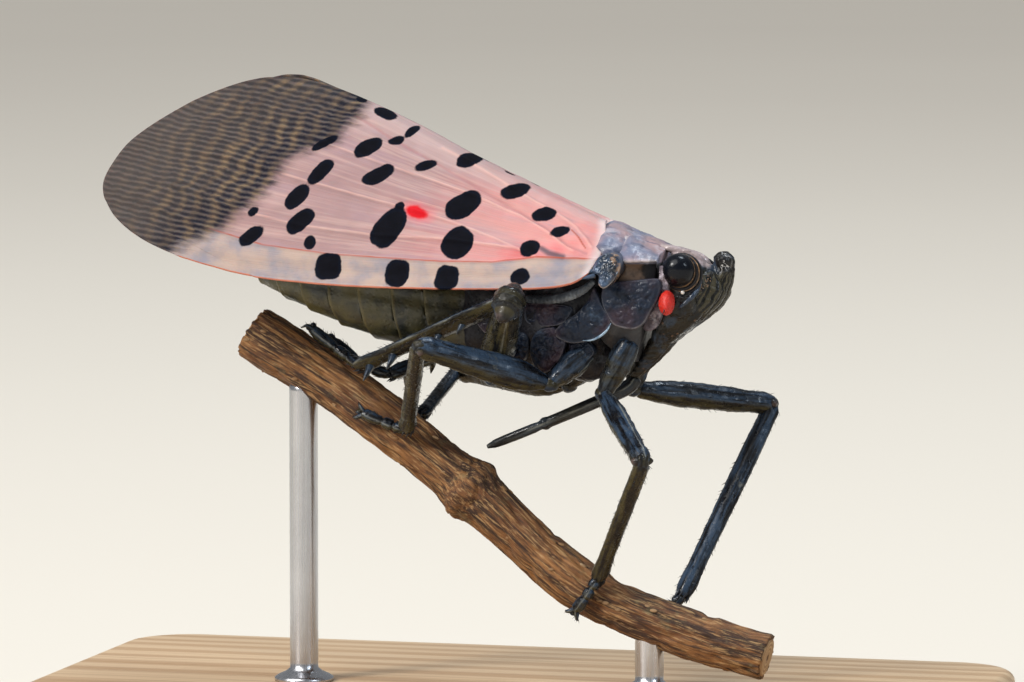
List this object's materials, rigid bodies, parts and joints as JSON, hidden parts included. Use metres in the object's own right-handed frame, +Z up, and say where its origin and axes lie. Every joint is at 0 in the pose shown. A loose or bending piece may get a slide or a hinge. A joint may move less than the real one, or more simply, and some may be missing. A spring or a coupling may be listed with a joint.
{
  "type": "spotted lanternfly",
  "caption": "Life-size planthopper with roof-folded spotted wings, standing on a cut length of vine held over a flat display base by short rods.",
  "frame": {"origin": "centre of the display base's underside, on the insect's own plane of symmetry", "axes": "+X towards the insect's head and along the base, +Z up, and -Y on the insect's right side, which the picture shows"},
  "size_m": [0.04, 0.026, 0.0313],
  "materials": {
    "base_wood": "satin",
    "rod_steel": "satin",
    "vine_bark": "rough",
    "black_cuticle": "satin",
    "eye_gloss": "gloss",
    "antenna_orange": "satin",
    "shield_grey": "satin",
    "belly_olive": "satin",
    "valve_red": "satin",
    "forewing_membrane": "satin",
    "hindwing_membrane": "satin"
  },
  "bodies": {
    "root": {"stand_base": "base_wood", "stand_rod_front": "rod_steel", "stand_rod_rear": "rod_steel", "perch_stem": "vine_bark", "head": "black_cuticle", "clypeus": "black_cuticle", "beak": "black_cuticle", "pronotum": "shield_grey", "mesonotum": "shield_grey", "thorax": "black_cuticle", "abdomen": "belly_olive", "ovipositor": "valve_red", "eye_right": "eye_gloss", "antenna_right": "antenna_orange", "tegula_right": "shield_grey", "forewing_right": "forewing_membrane", "hindwing_right": "hindwing_membrane", "eye_left": "eye_gloss", "antenna_left": "antenna_orange", "tegula_left": "shield_grey", "forewing_left": "forewing_membrane", "hindwing_left": "hindwing_membrane", "foreleg_right_coxa": "black_cuticle", "foreleg_right_femur": "black_cuticle", "foreleg_right_tibia": "black_cuticle", "foreleg_right_tarsus": "black_cuticle", "foreleg_left_coxa": "black_cuticle", "foreleg_left_femur": "black_cuticle", "foreleg_left_tibia": "black_cuticle", "foreleg_left_tarsus": "black_cuticle", "midleg_right_coxa": "black_cuticle", "midleg_right_femur": "black_cuticle", "midleg_right_tibia": "black_cuticle", "midleg_right_tarsus": "black_cuticle", "midleg_left_coxa": "black_cuticle", "midleg_left_femur": "black_cuticle", "midleg_left_tibia": "black_cuticle", "midleg_left_tarsus": "black_cuticle", "hindleg_right_coxa": "black_cuticle", "hindleg_right_femur": "black_cuticle", "hindleg_right_tibia": "black_cuticle", "hindleg_right_tarsus": "black_cuticle", "hindleg_left_coxa": "black_cuticle", "hindleg_left_femur": "black_cuticle", "hindleg_left_tibia": "black_cuticle", "hindleg_left_tarsus": "black_cuticle"}
  },
  "joints": []
}
